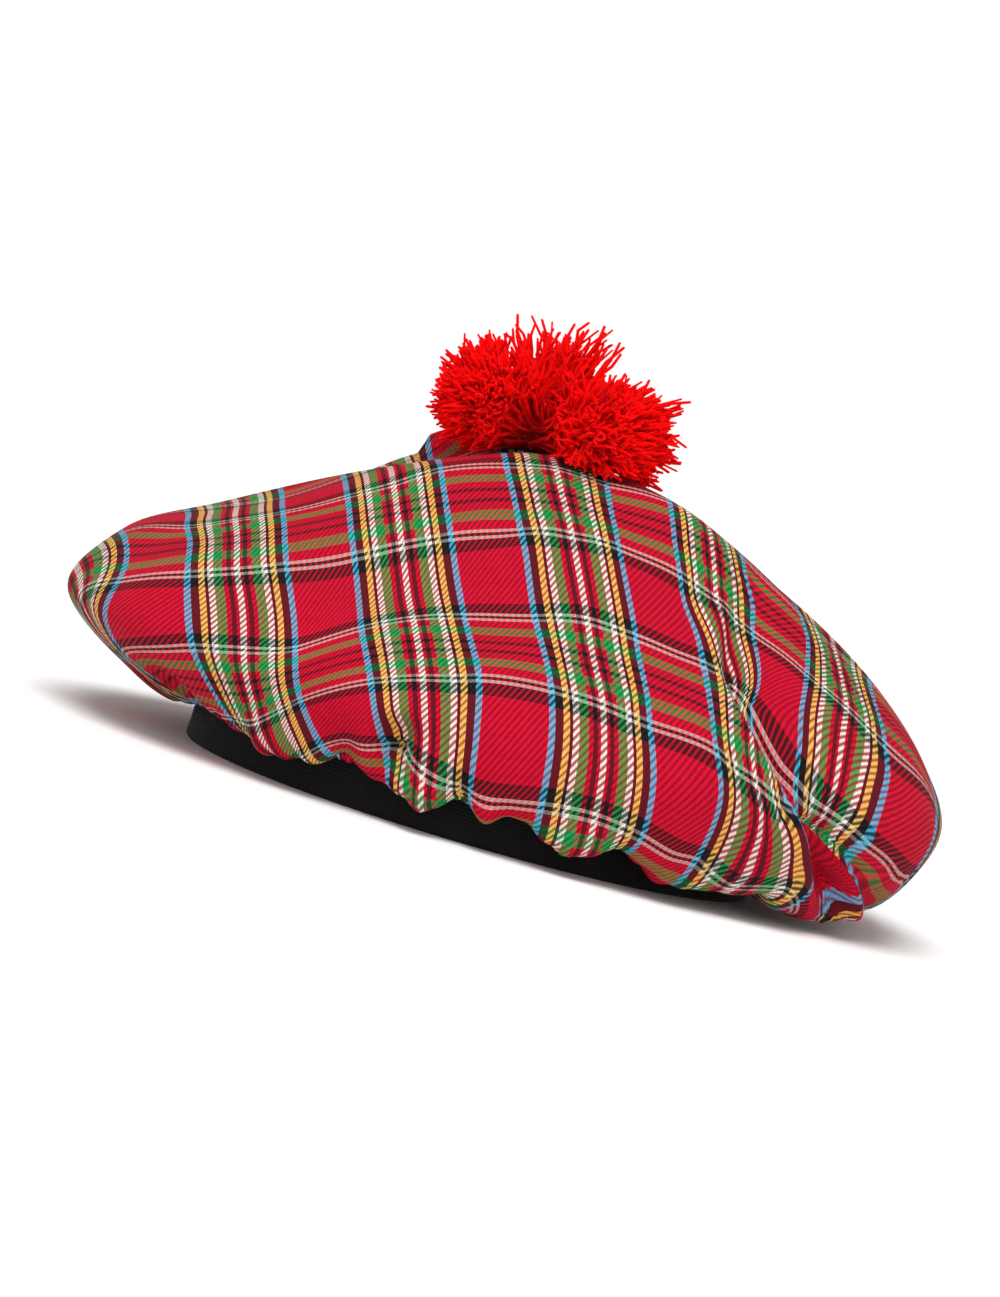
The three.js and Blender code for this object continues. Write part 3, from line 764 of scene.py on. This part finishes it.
def yarn_material():
    n = Nodes("red_cut_yarn")
    u, v = n.uv("Strand")                   # millimetres along the yarn plus a number for each yarn; share of the way round
    own = n.math("FLOOR", n.math("DIVIDE", u, 100.0))
    along = n.math("SUBTRACT", u, n.math("MULTIPLY", own, 100.0))
    ply = n.math("SINE", n.math("ADD", n.math("MULTIPLY", v, 6 * math.pi), n.math("MULTIPLY", along, 2 * math.pi / 2.6)))
    fuzz = n.noise(1500.0, 3.0, vector=n.place())
    each = n.noise(3.7, 0.0, w=own)
    # painted shade: each yarn darker for its first 17 mm from the tie, deep in the pompom and in the hollow at its
    # front
    root = n.math("POWER", n.math("MINIMUM", n.math("DIVIDE", along, 17.0), 1.0), 1.4)
    shade = n.math("MULTIPLY", n.math("MULTIPLY_ADD", root, 0.92, 0.08), n.math("MULTIPLY_ADD", each, 0.24, 0.88))
    # painted shade in the grooves between the plies
    shade = n.math("MULTIPLY", shade, n.math("MULTIPLY_ADD", ply, 0.05, 0.98))
    shade = n.math("MULTIPLY", shade, n.math("MULTIPLY_ADD", fuzz, 0.2, 0.92))
    n.feed(n.shader.inputs["Base Color"], n.mix(1.0, (0.99, 0.0030, 0.0035, 1.0), shade, "MULTIPLY"))
    n.feed(n.shader.inputs["Normal"], n.bump(n.math("ADD", ply, n.math("MULTIPLY", fuzz, 1.5)), 0.35, 0.0002))
    n.feed(n.shader.inputs["Roughness"], n.math("MULTIPLY_ADD", fuzz, 0.2, 0.68))
    n.shader.inputs["Specular IOR Level"].default_value = 0.03
    n.shader.inputs["Sheen Weight"].default_value = 0.5
    n.shader.inputs["Sheen Roughness"].default_value = 0.6
    n.shader.inputs["Sheen Tint"].default_value = (1.0, 0.02, 0.02, 1.0)
    n.shader.inputs["Subsurface Weight"].default_value = 0.8       # light goes through the loose fibres
    n.shader.inputs["Subsurface Radius"].default_value = (1.0, 0.04, 0.04)
    n.shader.inputs["Subsurface Scale"].default_value = 0.003
    return n.material


def unit(v):
    return v / np.maximum(np.linalg.norm(v, axis=-1, keepdims=True), 1e-9)


def in_hollow(paths):
    x, z, wide, high, back, far_back = HOLLOW
    off = np.hypot((paths[..., 0] - x) / wide, (paths[..., 2] - z) / high)
    return ((off < 1.0) & (paths[..., 1] < back)) | ((off < 0.7) & (paths[..., 1] < far_back))


def puff(rng, count, centre, reach, least_up, long_share, longer):
    """Paths of the yarns of one puff, (count, steps + 1, 3): out of the tie, through the puff's middle, out to its skin."""
    centre = np.array(centre, float)
    tufts = unit(rng.normal(size=(TUFTS, 3)))
    long_tuft = rng.random(TUFTS) < long_share
    t = np.linspace(0, 1, YARN_STEPS + 1)[None, :, None]
    done = np.zeros((0, YARN_STEPS + 1, 3))
    while len(done) < count:
        d = unit(rng.normal(size=(2 * count, 3)))
        d = d[d[:, 2] > least_up]
        own = np.argmax(d @ tufts.T, axis=1)
        d = unit(d + TUFT_PULL * (tufts[own] - d) * rng.random((len(d), 1)) * 2)
        far = np.where(long_tuft[own] & (rng.random(len(d)) < 0.5), longer, 0.97) + 0.06 * rng.normal(size=len(d))
        ends = centre + d * reach * far[:, None].clip(0.75, 1.45)
        keep = ends[:, 2] > cloth_z(ends[:, 0], ends[:, 1]) - 2.0
        keep &= np.linalg.norm(ends - POMPOM_TIE, axis=1) > 12.0
        ends = ends[keep]
        n = len(ends)
        start = np.array(POMPOM_TIE) + rng.normal(size=(n, 3)) * [3.0, 3.0, 1.2]
        bend = centre + (start - centre) * 0.35 + rng.normal(size=(n, 3)) * 0.24 * reach
        paths = (1 - t)**2 * start[:, None] + 2 * t * (1 - t) * bend[:, None] + t**2 * ends[:, None]
        for waves in (1.3, 2.6, 4.1):       # the yarn keeps some of its kink
            turn = rng.random((n, 1, 3)) * 2 * math.pi
            size = rng.normal(size=(n, 1, 3)) * 1.6 / waves
            paths = paths + size * (np.sin(2 * math.pi * waves * t + turn) - np.sin(turn)) * t
        floor_z = cloth_z(paths[..., 0].ravel(), paths[..., 1].ravel()).reshape(paths.shape[:2]) + YARN_R + 0.6
        paths[..., 2] = np.maximum(paths[..., 2], floor_z + rng.random((n, 1)) * 2.5 * t[..., 0])
        done = np.concatenate([done, paths[~in_hollow(paths[:, YARN_STEPS * 6 // 10:]).any(1)]])
    return done[:count]


def pompom_piece(name, rows, material, seed):
    rng = np.random.default_rng(seed)
    paths = np.concatenate([puff(rng, row[1], row[2:5], *row[5:]) for row in rows])
    t = np.linspace(0, 1, YARN_STEPS + 1)
    radii = YARN_R * (0.8 + 0.4 * rng.random((len(paths), 1))) * (1.0 - 0.25 * smooth((t - 0.85) / 0.15))[None]
    n_yarns, n_rings = paths.shape[:2]
    ahead = unit(np.gradient(paths, axis=1))
    side = unit(np.cross(ahead, np.broadcast_to([0.31, 0.83, 0.46], ahead.shape)))
    other = np.cross(ahead, side)
    a = 2 * math.pi * np.arange(YARN_SIDES) / YARN_SIDES
    ring = (paths[:, :, None] + radii[..., None, None] * (np.cos(a)[:, None] * side[:, :, None] + np.sin(a)[:, None] * other[:, :, None]))
    tips = paths[:, -1] + ahead[:, -1] * 0.5
    roots = paths[:, 0] - ahead[:, 0] * 0.3
    per = n_rings * YARN_SIDES + 2
    points = np.concatenate([ring.reshape(n_yarns, -1, 3), tips[:, None], roots[:, None]], 1).reshape(-1, 3)
    travelled = np.concatenate([np.zeros((n_yarns, 1)), np.cumsum(np.linalg.norm(np.diff(paths, axis=1), axis=-1), 1)], 1)
    one, marks = [], []                     # faces of one yarn, and each corner's ring and share of the way round
    for j in range(n_rings - 1):
        for i in range(YARN_SIDES):
            k = (i + 1) % YARN_SIDES
            one.append((j * YARN_SIDES + i, j * YARN_SIDES + k, (j + 1) * YARN_SIDES + k, (j + 1) * YARN_SIDES + i))
            marks.append(((j, i), (j, i + 1), (j + 1, i + 1), (j + 1, i)))
    for i in range(YARN_SIDES):
        k = (i + 1) % YARN_SIDES
        last = (n_rings - 1) * YARN_SIDES
        one.append((last + i, last + k, per - 2))
        marks.append(((n_rings - 1, i), (n_rings - 1, i + 1), (n_rings - 1, i + 0.5)))
        one.append((k, i, per - 1))
        marks.append(((0, i + 1), (0, i), (0, i + 0.5)))
    rings_of = np.array([m[0] for face in marks for m in face])
    round_of = np.array([m[1] for face in marks for m in face]) / YARN_SIDES
    faces = [tuple(v + y * per for v in face) for y in range(n_yarns) for face in one]
    uv = np.stack([travelled[:, rings_of] + 100.0 * np.arange(n_yarns)[:, None], np.broadcast_to(round_of, (n_yarns, len(round_of)))], -1)
    piece = make_piece(name, to_row(points), faces, {"Strand": uv.reshape(-1, 2)}, material)
    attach(piece, "root")
    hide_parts("pompom")
    return piece


red_yarn = yarn_material()
for number, puff_name in enumerate(("left", "right", "back")):
    pompom_piece("pompom_" + puff_name, [row for row in PUFFS if row[0] == puff_name], red_yarn, SEED + number)


# ---------------------------------------------------------------- floor, light
def make_floor():
    n = Nodes("floor_white")
    grain = n.noise(6.0, 2.0, vector=n.place())
    n.feed(n.shader.inputs["Base Color"], n.mix(grain, (0.955, 0.955, 0.955, 1.0), (0.965, 0.965, 0.965, 1.0)))
    n.shader.inputs["Roughness"].default_value = 0.9
    n.shader.inputs["Specular IOR Level"].default_value = 0.0
    mesh = bpy.data.meshes.new("floor")
    s = 9.0
    mesh.from_pydata([(-s, -s, 0), (s, -s, 0), (s, s, 0), (-s, s, 0)], [], [(0, 1, 2, 3)])
    mesh.materials.append(n.material)
    floor = bpy.data.objects.new("floor", mesh)
    bpy.context.scene.collection.objects.link(floor)


def make_sun(name, turn, height, width, strength):
    """A broad even light from a turn and a height in degrees; width is how wide it looks from the hat."""
    data = bpy.data.lights.new(name, "SUN")
    data.angle, data.energy = math.radians(width), strength
    light = bpy.data.objects.new(name, data)
    turn, height = math.radians(turn), math.radians(height)
    towards = Vector((math.cos(turn) * math.cos(height), math.sin(turn) * math.cos(height), math.sin(height)))
    light.rotation_euler = towards.to_track_quat("Z", "Y").to_euler()
    light.location = towards * 2.0
    bpy.context.scene.collection.objects.link(light)


make_floor()
make_sun("key", 258.0, 62.0, 36.0, 2.35)
make_sun("fill", 268.0, 22.0, 60.0, 0.80)

# a white room: bright level with the hat, dimmer overhead
world = bpy.data.worlds.new("studio")
world.use_nodes = True
tree = world.node_tree
where = tree.nodes.new("ShaderNodeTexCoord")
parts = tree.nodes.new("ShaderNodeSeparateXYZ")
fall = tree.nodes.new("ShaderNodeMapRange")
fall.interpolation_type = "SMOOTHSTEP"
for k, value in enumerate((0.16, 0.36, 1.0, 0.38)):
    fall.inputs[1 + k].default_value = value
tree.links.new(where.outputs["Generated"], parts.inputs[0])
tree.links.new(parts.outputs[2], fall.inputs[0])
tree.links.new(fall.outputs[0], tree.nodes["Background"].inputs[1])
tree.nodes["Background"].inputs[0].default_value = (1.0, 1.0, 1.0, 1.0)
bpy.context.scene.world = world
bpy.context.scene.view_settings.view_transform = "Standard"
